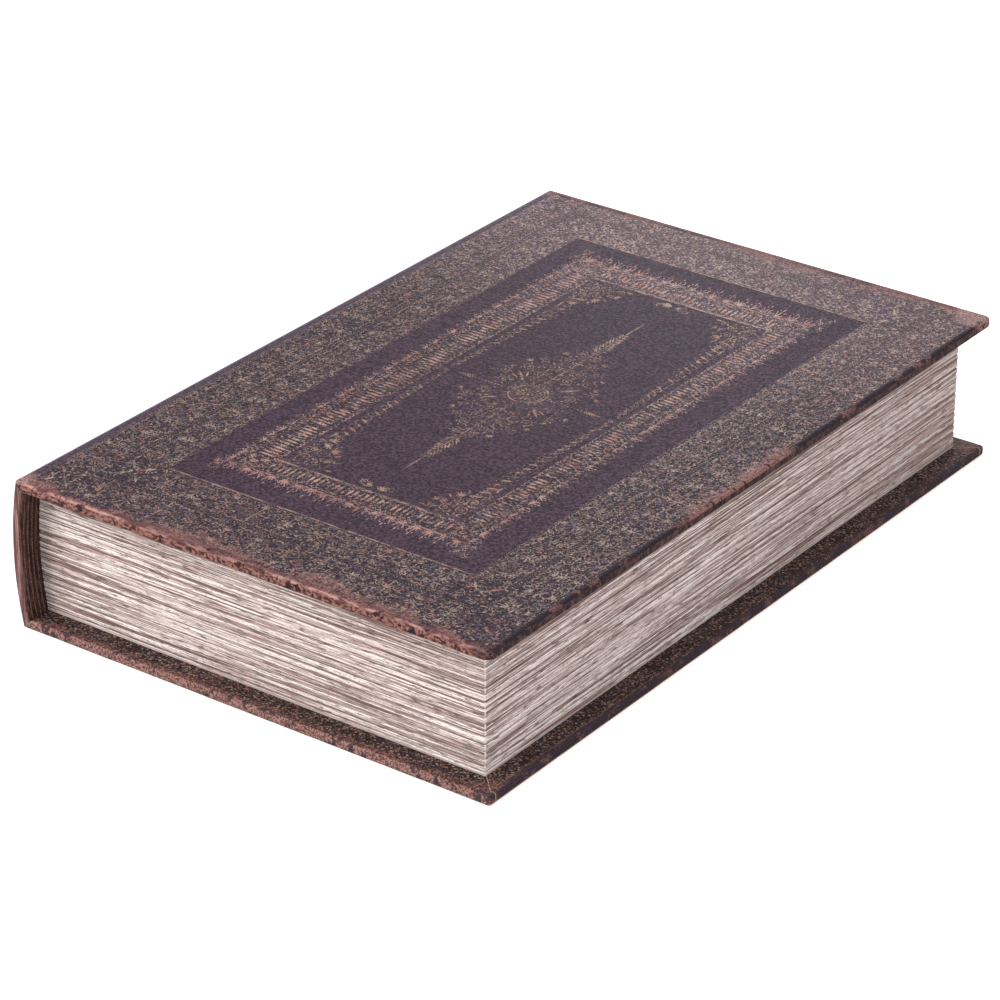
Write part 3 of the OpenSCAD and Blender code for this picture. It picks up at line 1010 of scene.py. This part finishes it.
def four(part):
    """The shape and its mirror images across both axes."""
    corners_of = itertools.product((-1, 1), (-1, 1))
    return join([
        moved(part, stretch=stretch, raised=k * LAYER_STEP / 4)
        for k, stretch in enumerate(corners_of)
    ])


def around(x, y, radius, angle):
    """Point, or row of points, round x, y."""
    return np.stack([x + radius * np.cos(angle), y + radius * np.sin(angle)], axis=-1)


def leaf(x, y, turn, length, width):
    """Pointed leaf that grows from x, y."""
    side = [(0.22, 0.36), (0.5, 0.5), (0.8, 0.24)]
    outline = [(0, 0)] + [(a * length, b * width) for a, b in side] + [(length, 0)]
    outline += [(a * length, -b * width) for a, b in reversed(side)]
    return moved(flat(outline, [list(range(len(outline)))]), x, y, turn)


def dot(x, y, radius):
    sides = 6
    angles = np.arange(sides) * 2 * math.pi / sides
    return flat(around(x, y, radius, angles), [list(range(sides))])


def ribbon(path, start_width, end_width):
    """Ribbon of tapering width along a path."""
    path = np.asarray(path, float)
    tangent = np.gradient(path, axis=0)
    tangent /= np.linalg.norm(tangent, axis=1)[:, None] + 1e-9
    normal = np.stack([-tangent[:, 1], tangent[:, 0]], axis=1)
    half = np.linspace(start_width, end_width, len(path))[:, None] / 2
    points = np.concatenate([path + normal * half, path - normal * half])
    count = len(path)
    faces = [[i, i + 1, count + i + 1, count + i] for i in range(count - 1)]
    return flat(points, faces)


def line(x0, y0, x1, y1, width, pieces=1):
    return ribbon(np.linspace((x0, y0), (x1, y1), pieces + 1), width, width)


def ring(x, y, radius, width, sides=28):
    angles = np.linspace(0, 2 * math.pi, sides + 1)
    return ribbon(around(x, y, radius, angles), width, width)


def curl(x, y, start, end, from_angle, turns, width):
    """Spiral scroll from its outer radius to its inner one."""
    t = np.linspace(0, 1, max(6, int(11 * abs(turns))))
    radius = start + (end - start) * t ** 0.85
    angle = from_angle + 2 * math.pi * turns * t
    return ribbon(around(x, y, radius, angle), width, width * 0.6)


def leafy_curl(x, y, radius, from_angle, turns, leaves=6, width=0.34):
    """Scroll with small leaves round its outside and a bud in its middle."""
    parts = [curl(x, y, radius, radius * 0.22, from_angle, turns, width)]
    parts.append(dot(x, y, radius * 0.17))
    way = 1 if turns > 0 else -1
    for k in range(leaves):
        angle = from_angle + way * k * 2 * math.pi / leaves * 0.92
        place = around(x, y, radius * 1.02, angle)
        parts.append(leaf(*place, angle + way * 0.9, radius * 0.52, radius * 0.2))
    return join(parts)


def star(x, y, radius, count, length, width, first=0.0):
    """Leaves that point out from a circle round x, y."""
    angles = [(k + first) * 2 * math.pi / count for k in range(count)]
    return [leaf(*around(x, y, radius, angle), angle, length, width) for angle in angles]


def flower(x, y, radius, petals=6):
    middle = dot(x, y, radius * 0.26)
    return join([middle, *star(x, y, radius * 0.3, petals, radius * 0.75, radius * 0.46)])


def palmette(x, y, turn, size, leaves=7, spread=2.5):
    """Fan of leaves from x, y, the longest in its middle."""
    parts = []
    for k in range(leaves):
        share = 2 * k / (leaves - 1) - 1
        length = size * (1 - 0.36 * share * share)
        parts.append(leaf(x, y, turn + share * spread / 2, length, size * 0.18))
    return join(parts)


LACE_PITCH = 11.0
LACE_DEPTH = 13.5


def lace_unit():
    """One repeat of the border lace, x from -pitch/2 to pitch/2 and y from the outer edge in."""
    side = [
        leafy_curl(2.9, 3.4, 1.75, -1.4, 1.5, leaves=5, width=0.26),
        leafy_curl(2.8, 9.9, 1.7, 1.5, -1.45, leaves=5, width=0.26),
        leafy_curl(4.7, 6.6, 1.0, 2.6, 1.2, leaves=4, width=0.24),
        leaf(0.5, 6.4, 0.2, 2.6, 0.55),
        leaf(0.4, 5.9, -0.5, 1.9, 0.4),
        leaf(0.4, 7.1, 0.75, 1.9, 0.4),
        leaf(5.3, 0.9, 2.2, 1.7, 0.4),
        leaf(5.3, 12.6, -2.3, 1.7, 0.4),
        ribbon([(0.2, 12.9), (1.4, 12.0), (3.2, 12.3), (4.6, 11.5), (5.5, 12.2)], 0.22, 0.22),
        ribbon([(0.2, 0.7), (1.5, 1.4), (3.3, 1.0), (4.5, 1.7), (5.5, 1.1)], 0.22, 0.22),
    ]
    for _ in range(12):
        angle = rng.uniform(0, 2 * math.pi)
        side.append(leaf(rng.uniform(0.5, 5.4), rng.uniform(0.6, 12.9), angle, 0.95, 0.3))
    parts = [both(join(side))]
    parts.append(line(0, 0.8, 0, 12.8, 0.32))
    parts.append(palmette(0, 3.1, -math.pi / 2, 2.3, leaves=5))
    parts.append(palmette(0, 8.6, math.pi / 2, 2.9, leaves=5))
    parts.append(flower(0, 6.5, 1.1))
    parts += [dot(x, y, 0.2) for y in (0.25, 13.3) for x in np.arange(-5.0, 5.1, 1.0)]
    return join(parts)


FRINGE_PITCH = 4.6
FRINGE_DEPTH = 5.0


def fringe_unit():
    """Small fan of leaves that faces out from a base line."""
    side = [
        curl(1.75, 4.0, 0.6, 0.15, 2.2, 1.1, 0.3),
        leaf(1.2, 3.4, -math.pi / 2 + 0.3, 1.4, 0.5),
        dot(0.9, 1.9, 0.24),
    ]
    fan = palmette(0, FRINGE_DEPTH - 0.2, -math.pi / 2, 2.9, leaves=5, spread=2.3)
    return join([both(join(side)), fan, leaf(0, 2.2, -math.pi / 2, 1.6, 0.5)])


COMB_PITCH = 1.75
COMB_DEPTH = 9.0


def comb_unit():
    """One tooth across a band, with a bud under it and a small arch over it."""
    side = [
        ribbon([(0.2, 1.1), (0.7, 1.4), (1.0, 2.1)], 0.22, 0.22),
        leaf(0.2, 8.4, 0.3, 0.8, 0.4),
    ]
    tooth = leaf(0, 7.5, -math.pi / 2, 5.2, 1.0)
    return join([both(join(side)), dot(0, 0.5, 0.28), tooth, dot(0, 8.0, 0.26)])


def corner_block():
    """Square block with crossing lines and a roundel, drawn 9 by 9 round its middle."""
    quarter = join([
        leaf(0.9, 0.9, math.pi / 4, 3.6, 0.6),
        curl(3.0, 1.3, 1.0, 0.2, 0.4, 1.2, 0.24),
        curl(1.3, 3.0, 1.0, 0.2, 1.2, -1.2, 0.24),
        leaf(3.6, 3.6, math.pi / 4 + 1.1, 1.4, 0.5),
        leaf(3.6, 3.6, math.pi / 4 - 1.1, 1.4, 0.5),
    ])
    return join([four(quarter), flower(0, 0, 1.3, 8), ring(0, 0, 2.3, 0.22)])


def band(unit, pitch, depth, outer, inner):
    """Units laid along the four sides between two rectangles."""
    parts = []
    for axis in (0, 1):
        outer_across = (outer.u, outer.v)[1 - axis]
        inner_across = (inner.u, inner.v)[1 - axis]
        start, end = (inner.u, inner.v)[axis]
        count = max(1, round((end - start) / pitch))
        real = (end - start) / count
        for side in (0, 1):
            width = inner_across[side] - outer_across[side]
            for k in range(count):
                points, faces = unit
                along = start + (k + 0.5) * real + points[:, 0] * real / pitch
                across = outer_across[side] + points[:, 1] * width / depth
                pair = (along, across) if axis == 0 else (across, along)
                parts.append((np.stack([*pair, points[:, 2]], axis=1), faces))
    return join(parts)


def corners(block, outer, inner, size=9.0):
    """A block in each corner between two rectangles."""
    parts = []
    for u0, u1 in zip(outer.u, inner.u):
        for v0, v1 in zip(outer.v, inner.v):
            stretch = (abs(u1 - u0) / size, abs(v1 - v0) / size)
            parts.append(moved(block, (u0 + u1) / 2, (v0 + v1) / 2, 0, stretch))
    return join(parts)


def thinned(part, share):
    """The shape with a share of its faces rubbed away."""
    points, faces = part
    return points, [face for face in faces if rng.random() >= share]


def end_lines(rect, width, share):
    """Lines along the tail and the head side of a rectangle, with a share rubbed away."""
    lines = join([line(u, rect.v[0], u, rect.v[1], width, 30) for u in rect.u])
    return thinned(lines, share)


def corner_spray():
    """Leafy corner of the inner field, drawn from its corner at the origin along +x and +y."""
    parts = [
        leafy_curl(4.2, 3.6, 2.6, 3.4, 1.5, leaves=7),
        leafy_curl(9.4, 3.2, 2.1, 2.6, -1.5),
        leafy_curl(3.4, 8.8, 2.1, -1.2, 1.5),
        leafy_curl(13.8, 2.4, 1.6, 3.0, 1.4, leaves=5),
        leafy_curl(2.6, 12.9, 1.3, -1.4, -1.4, leaves=5),
        leafy_curl(8.4, 7.4, 1.9, 0.4, 1.5),
        flower(12.6, 5.6, 1.5),
        flower(6.2, 11.4, 1.3),
        palmette(10.4, 8.8, 0.65, 3.0),
        palmette(15.6, 4.4, 0.35, 2.6, leaves=5),
        palmette(5.8, 13.2, 1.2, 2.4, leaves=5),
        leaf(17.0, 1.6, 0.15, 3.6, 1.0),
        leaf(1.5, 14.2, 1.5, 2.6, 0.9),
        leaf(12.4, 7.6, 0.6, 2.6, 0.8),
        leaf(8.8, 10.9, 1.0, 2.2, 0.8),
    ]
    for _ in range(26):
        x = rng.uniform(0.5, 16.0)
        y = rng.uniform(0.5, max(1.0, 13.0 - 0.72 * x))
        parts.append(leaf(x, y, rng.uniform(0, 6.28), 1.0, 0.45))
    return join(parts)


def field_edging(length, depth):
    """Scalloped edging along a long side of the field. It thins out towards the middle."""
    reach = length / 2 - 17
    parts = []
    x = 1.8
    while x < reach:
        share = x / reach
        size = depth * (0.42 + 0.58 * share)
        parts.append(curl(x, size * 0.36, size * 0.34, size * 0.1, 2.8, -1.2, 0.22))
        parts.append(leaf(x + 1.2, size * 0.3, 1.2, size * 0.62, size * 0.16))
        parts.append(leaf(x - 0.9, 0.9, 0.2, 1.7, 0.3))
        if share > 0.45:
            parts.append(dot(x + 0.3, size * 0.92, 0.28))
        x += 3.1
    return both(join(parts))


def medallion():
    """Rosette with a lozenge of scrolls, drawn round the origin with x along u."""
    parts = [ring(0, 0, 4.9, 0.2), ring(0, 0, 1.5, 0.24, 16), dot(0, 0, 0.5)]
    for radius, count in ((2.9, 12), (3.9, 18), (5.4, 26)):
        for angle in np.arange(count) * 2 * math.pi / count:
            parts.append(dot(*around(0, 0, radius, angle), 0.24))
    parts += star(0, 0, 1.9, 16, 2.5, 0.5)
    parts += star(0, 0, 6.5, 24, 1.3, 0.35, first=0.5)
    quarter = [
        leaf(6.4, 6.4, math.pi / 4, 7.0, 1.0),
        leaf(9.0, 7.2, 0.45, 4.0, 0.6),
        leaf(7.2, 9.0, 1.12, 4.0, 0.6),
    ]
    for *scroll, leaves, width in (
        (13.5, 4.2, 2.2, 3.3, -1.5, 6, 0.24),
        (4.0, 12.2, 2.2, -1.3, 1.5, 6, 0.24),
        (19.5, 4.6, 2.3, 2.9, 1.5, 6, 0.24),
        (15.6, 10.6, 2.3, 0.2, 1.5, 6, 0.24),
        (9.6, 15.6, 2.0, 0.6, -1.5, 6, 0.24),
        (25.6, 4.2, 2.1, 3.3, -1.5, 6, 0.24),
        (22.4, 9.2, 1.7, 0.5, 1.4, 5, 0.22),
        (31.4, 3.2, 1.7, 2.8, 1.4, 5, 0.22),
    ):
        quarter.append(leafy_curl(*scroll, leaves, width))
    for fan in (
        (28.6, 7.0, 0.4, 2.2),
        (19.0, 12.8, 0.8, 2.0),
        (7.6, 18.4, 1.3, 2.0),
        (13.0, 14.6, 0.9, 2.0),
    ):
        quarter.append(palmette(*fan, leaves=5))
    for k in range(8):
        quarter.append(leaf(9.0 + 3.2 * k, 0.2, 0.75, 1.6, 0.4))
    for k in range(9):
        quarter.append(leaf(35.5 + 1.7 * k, 0.3, 0.62 - 0.03 * k, 4.6 - 0.34 * k, 0.62))
        quarter.append(leaf(36.2 + 1.7 * k, 1.2, 0.95, 1.9 - 0.16 * k, 0.4))
    for k in range(5):
        quarter.append(leaf(0.2, 20.4 + 0.9 * k, 0.8, 1.3 - 0.2 * k, 0.35))
    for _ in range(36):
        x = rng.uniform(8.0, 36.0)
        y = rng.uniform(0.8, max(1.4, 16.5 - 0.42 * x))
        quarter.append(leaf(x, y, rng.uniform(0, 6.28), 1.0, 0.32))
    parts.append(four(join(quarter)))
    return join(parts)


def medallion_arms():
    """The straight arms of the medallion."""
    arms = [line(7.0, 0, 49.0, 0, 0.34, 20), leaf(49.0, 0, 0, 12.6, 0.8)]
    beads = [dot(0, y, 0.36) for y in np.arange(7.2, 20.5, 1.2)]
    beads.append(leaf(0, 20.5, math.pi / 2, 6.0, 0.8))
    parts = [moved(join(arms), stretch=(side, 1)) for side in (-1, 1)]
    parts += [moved(join(beads), stretch=(1, side)) for side in (-1, 1)]
    return join(parts)


def lay_on_cover(part, lid):
    """Points of a flat ornament on the outer face of a cover."""
    points = part[0]
    lift = points[:, 2] + FOIL_LIFT
    z = CASE_T + lift if lid else -lift
    return np.stack([SEAM_X + points[:, 1], TAIL_Y + points[:, 0], z], axis=1)


def lay_on_spine(part):
    """Points of a flat ornament on the spine: x runs from tail to head and y up."""
    return np.array([(arc_x(z, -FOIL_LIFT - layer), TAIL_Y + y, z) for y, z, layer in part[0]])


def facing(points, faces, axis, sign):
    """Faces turned so that their normals point along one axis."""
    turned = []
    for face in faces:
        corner = points[face]
        area = np.cross(corner, np.roll(corner, -1, axis=0)).sum(axis=0)
        turned.append(face if area[axis] * sign > 0 else face[::-1])
    return turned


def foil(name, part, place, axis, sign, material, body):
    """Piece of foil from a flat ornament that place lays on the leather, facing along an axis."""
    points, faces = place(part), part[1]
    used = sorted({i for face in faces for i in face})
    new = {old: i for i, old in enumerate(used)}
    points = points[used]
    faces = [[new[i] for i in face] for face in faces]
    thing = add_mesh(name, points, facing(points, faces, axis, sign), material)
    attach(thing, body)


def field_ornament():
    """Corner sprays, edging and small palmettes of the inner field."""
    parts = []
    spray = corner_spray()
    for u, out_u in zip(FIELD_RECT.u, (1, -1)):
        for v, out_v in zip(FIELD_RECT.v, (1, -1)):
            parts.append(moved(spray, u + out_u, v + out_v, 0, (out_u * 1.12, out_v * 0.95)))
        middle = sum(FIELD_RECT.v) / 2
        for side in (-1, 1):
            scroll = [palmette(0, 0, 0.5, 3.2), leafy_curl(2.2, 2.6, 1.4, 3.6, -1.4, leaves=5)]
            place = (u + out_u * 2.0, middle + side * 2.0)
            parts.append(moved(join(scroll), *place, 0, (out_u, side)))
    edging = field_edging(FIELD_RECT.u[1] - FIELD_RECT.u[0], 7.0)
    for v, out_v in zip(FIELD_RECT.v, (1, -1)):
        parts.append(moved(edging, sum(FIELD_RECT.u) / 2, v + out_v * 1.2, 0, (1, out_v)))
    return join(parts)


def dress_cover(lid, body, beige, gold, rose, pink):
    """All the foil of one cover."""
    prefix = "front" if lid else "back"
    sign = 1 if lid else -1

    def lay(part):
        return lay_on_cover(part, lid)

    unit = lace_unit()
    turned = moved(unit, 0, LACE_DEPTH, 0, (1, -1))
    border = join([
        band(unit, LACE_PITCH, LACE_DEPTH, EDGE_RECT, DIVIDE_RECT),
        band(turned, LACE_PITCH, LACE_DEPTH, DIVIDE_RECT, BORDER_RECT),
        thinned(corners(corner_block(), EDGE_RECT, DIVIDE_RECT), 0.4),
        thinned(corners(corner_block(), DIVIDE_RECT, BORDER_RECT), 0.4),
    ])
    foil(f"{prefix}_border_lace", thinned(border, 0.12), lay, 2, sign, beige, body)
    inner = join([
        band(fringe_unit(), FRINGE_PITCH, FRINGE_DEPTH, FRINGE_RECT, COMB_RECT),
        band(comb_unit(), COMB_PITCH, COMB_DEPTH, COMB_RECT, FIELD_RECT),
        corners(corner_block(), FRINGE_RECT, COMB_RECT, 7.0),
        corners(corner_block(), COMB_RECT, FIELD_RECT),
    ])
    foil(f"{prefix}_inner_frame", thinned(inner, 0.06), lay, 2, sign, pink, body)
    centre = moved(medallion(), *CENTRE)
    foil(f"{prefix}_medallion", thinned(centre, 0.04), lay, 2, sign, rose, body)
    foil(f"{prefix}_field_sprays", thinned(field_ornament(), 0.1), lay, 2, sign, rose, body)
    lines = join([
        end_lines(BORDER_RECT, 0.6, 0.06),
        end_lines(COMB_RECT, 0.7, 0.08),
        end_lines(FIELD_RECT, 0.8, 0.04),
        moved(medallion_arms(), *CENTRE),
        moved(ring(0, 0, 6.0, 0.55), *CENTRE),
    ])
    foil(f"{prefix}_gold_lines", lines, lay, 2, sign, gold, body)


def spine_panels():
    """Five framed panels with a rosette in each, up the spine from tail to head."""
    parts = []
    count = 5
    margin = 12.0
    step = (CASE_L - 2 * margin) / count
    low_z, high_z = 6.0, CASE_T - 6.0
    quarter = join([
        leafy_curl(6.0, 4.2, 2.4, 3.3, 1.5, leaves=7),
        leafy_curl(11.5, 5.0, 2.0, 2.8, -1.5),
        leafy_curl(4.2, 9.6, 2.0, -1.2, 1.5),
        palmette(9.0, 9.6, 0.8, 3.4),
        palmette(15.0, 5.6, 0.4, 3.0),
    ])
    rosette = join([four(quarter), flower(0, 0, 3.4, 12), ring(0, 0, 3.9, 0.5)])
    for k in range(count):
        start = margin + k * step
        for inset, width in ((1.4, 0.8), (3.0, 0.35)):
            ends = (start + inset, start + step - inset)
            parts += [line(end, low_z, end, high_z, width, 12) for end in ends]
            parts += [line(ends[0], z, ends[1], z, width, 16) for z in (low_z, high_z)]
        parts.append(moved(rosette, start + step / 2, MID_Z))
    return thinned(join(parts), 0.1)


# Everything that belongs to the box

def dress_nodes(paints):
    """Better materials on the CAD nodes that keep their own shape."""
    for name, material in paints.items():
        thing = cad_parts[name]
        thing.data.materials.clear()
        thing.data.materials.append(material)


def build_box():
    """Sheets, pages, paper and foil on their bodies, and materials on the solids that stay."""
    leather = front_leather()
    lid = cover_mesh("front_cover_sheet", True, leather)
    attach(lid, "cover")
    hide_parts("front_wrap")
    back = cover_mesh("back_cover_sheet", False, back_leather())
    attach(back, "box")
    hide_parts("back_wrap")
    spine = spine_mesh("spine_sheet", spine_leather())
    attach(spine, "box")
    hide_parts("spine_wrap")

    strip = strip_mesh("hinge_sheet", front_leather("leatherette_joint", 0.4))
    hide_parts("hinge_strip")
    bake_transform(strip)

    liner, apex, across = liner_mesh("joint_lining", paper_paint("joint_paper", REST))
    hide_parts("joint_liner")
    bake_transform(liner)

    pages = page_mesh("page_edges", page_paint())
    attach(pages, "box")
    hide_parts("page_edge")

    board = board_paint()
    paper = paper_paint("endpaper")
    wood = wood_paint()
    lining = lining_paint()
    steel = steel_paint()
    linings = ["floor_lining", "spine_lining", "tail_lining", "head_lining", "fore_lining"]
    walls = ["tray_floor", "spine_wall", "tail_wall", "head_wall", "fore_wall"]
    dress_nodes({
        **dict.fromkeys(["front_board", "back_board", "spine_board"], board),
        **dict.fromkeys(["front_endpaper", "rim_paper"], paper),
        **dict.fromkeys(walls, wood),
        **dict.fromkeys(linings, lining),
        **dict.fromkeys(["keeper_discs", "closing_magnets"], steel),
    })

    beige = gilding("foil_beige", (170, 145, 127), (154, 110, 94), 0.6, 2.4, 0.6)
    gold = gilding("foil_gold", (162, 124, 110), (146, 104, 92), 0.66, 3.0, 0.4)
    rose = gilding("foil_rose", (170, 142, 116), (158, 114, 94), 0.7, 2.4, 0.3)
    pink = gilding("foil_pink", (188, 150, 140), (178, 124, 110), 0.66, 2.6, 0.3)
    dress_cover(True, "cover", beige, gold, rose, pink)
    dress_cover(False, "box", beige, gold, rose, pink)
    foil("spine_panels", spine_panels(), lay_on_spine, 0, -1, rose, "box")


# Floor, light and camera

FLOOR_REACH = 6.0
FLOOR_DROP = 0.0001
FLOOR_GLOW = 0.65
SKY_LEVEL = 0.55


def make_floor():
    """White floor that keeps the shadow, and shows as plain white round the object."""
    mesh = bpy.data.meshes.new("floor")
    signs = [(-1, -1), (1, -1), (1, 1), (-1, 1)]
    mesh.from_pydata([(x * FLOOR_REACH, y * FLOOR_REACH, 0) for x, y in signs], [], [[0, 1, 2, 3]])
    floor = bpy.data.objects.new("floor", mesh)
    floor.location.z = -FLOOR_DROP
    bpy.context.scene.collection.objects.link(floor)
    material = bpy.data.materials.new("floor")
    material.use_nodes = True
    nodes = Nodes(material.node_tree)
    seen = nodes.node("ShaderNodeLightPath").outputs["Is Camera Ray"]
    lift = nodes.node("ShaderNodeMath", {0: seen, 1: FLOOR_GLOW}, operation="MULTIPLY")
    nodes.fill(nodes.tree.nodes["Principled BSDF"], {
        "Base Color": (0.8, 0.8, 0.8, 1),
        "Roughness": 0.9,
        "Specular IOR Level": 0.1,
        "Emission Color": (1, 1, 1, 1),
        "Emission Strength": lift.outputs[0],
    })
    mesh.materials.append(material)


def make_world():
    """Plain light from all round. The camera, gloss and glass see it as white."""
    world = bpy.data.worlds.new("studio")
    bpy.context.scene.world = world
    world.use_nodes = True
    nodes = Nodes(world.node_tree)
    path = nodes.node("ShaderNodeLightPath")
    seen = path.outputs["Is Camera Ray"]
    for name in ("Is Glossy Ray", "Is Transmission Ray"):
        inputs = {0: seen, 1: path.outputs[name]}
        seen = nodes.node("ShaderNodeMath", inputs, operation="MAXIMUM").outputs[0]
    level = nodes.node("ShaderNodeMapRange", {0: seen, 3: SKY_LEVEL, 4: 1.0}).outputs[0]
    nodes.fill(nodes.tree.nodes["Background"], {"Strength": level, "Color": (1, 1, 1, 1)})


def make_lamp(name, place, size, power, target=(0, 0, 0.03), tint=(1.0, 1.0, 1.0)):
    """Soft square lamp that faces a target."""
    lamp = bpy.data.lights.new(name, "AREA")
    lamp.color = tint
    lamp.shape = "SQUARE"
    lamp.size = size
    lamp.energy = power
    thing = bpy.data.objects.new(name, lamp)
    thing.visible_camera = False
    thing.location = place
    thing.rotation_mode = "QUATERNION"
    thing.rotation_quaternion = (Vector(target) - Vector(place)).to_track_quat("-Z", "Y")
    bpy.context.scene.collection.objects.link(thing)


def make_camera():
    """Camera at the photograph's angle, with its lens and centre."""
    azimuth, elevation, roll = map(math.radians, (VIEW_AZIMUTH, VIEW_ELEVATION, VIEW_ROLL))
    back = Vector((
        math.sin(azimuth) * math.cos(elevation),
        -math.cos(azimuth) * math.cos(elevation),
        math.sin(elevation),
    ))
    right = Vector((math.cos(azimuth), math.sin(azimuth), 0))
    up = back.cross(right)
    rolled_right = right * math.cos(roll) + up * math.sin(roll)
    rolled_up = up * math.cos(roll) - right * math.sin(roll)
    data = bpy.data.cameras.new("camera")
    data.sensor_width = SENSOR_MM
    data.lens = FOCAL_PX * SENSOR_MM / FRAME_PX
    data.shift_x = (FRAME_PX / 2 - CENTRE_PX[0]) / FRAME_PX
    data.shift_y = (CENTRE_PX[1] - FRAME_PX / 2) / FRAME_PX
    data.clip_start = 0.01
    data.clip_end = 50
    camera = bpy.data.objects.new("camera", data)
    turn = Matrix((rolled_right, rolled_up, back)).transposed()
    camera.matrix_world = Matrix.Translation(CAMERA_MM * MM) @ turn.to_4x4()
    bpy.context.scene.collection.objects.link(camera)
    bpy.context.scene.camera = camera


build_box()
make_floor()
make_world()
make_lamp("key", (-0.9, -1.3, 1.2), 1.0, 27, tint=(1.0, 0.985, 0.955))
make_lamp("fill", (1.5, -0.2, 0.9), 1.2, 7.5, tint=(1.0, 0.965, 1.0))
make_lamp("rim", (-0.15, 0.34, 0.18), 0.12, 0.16, target=(0, 0.1, 0.0475))
make_camera()
bpy.context.scene.view_settings.view_transform = "Standard"
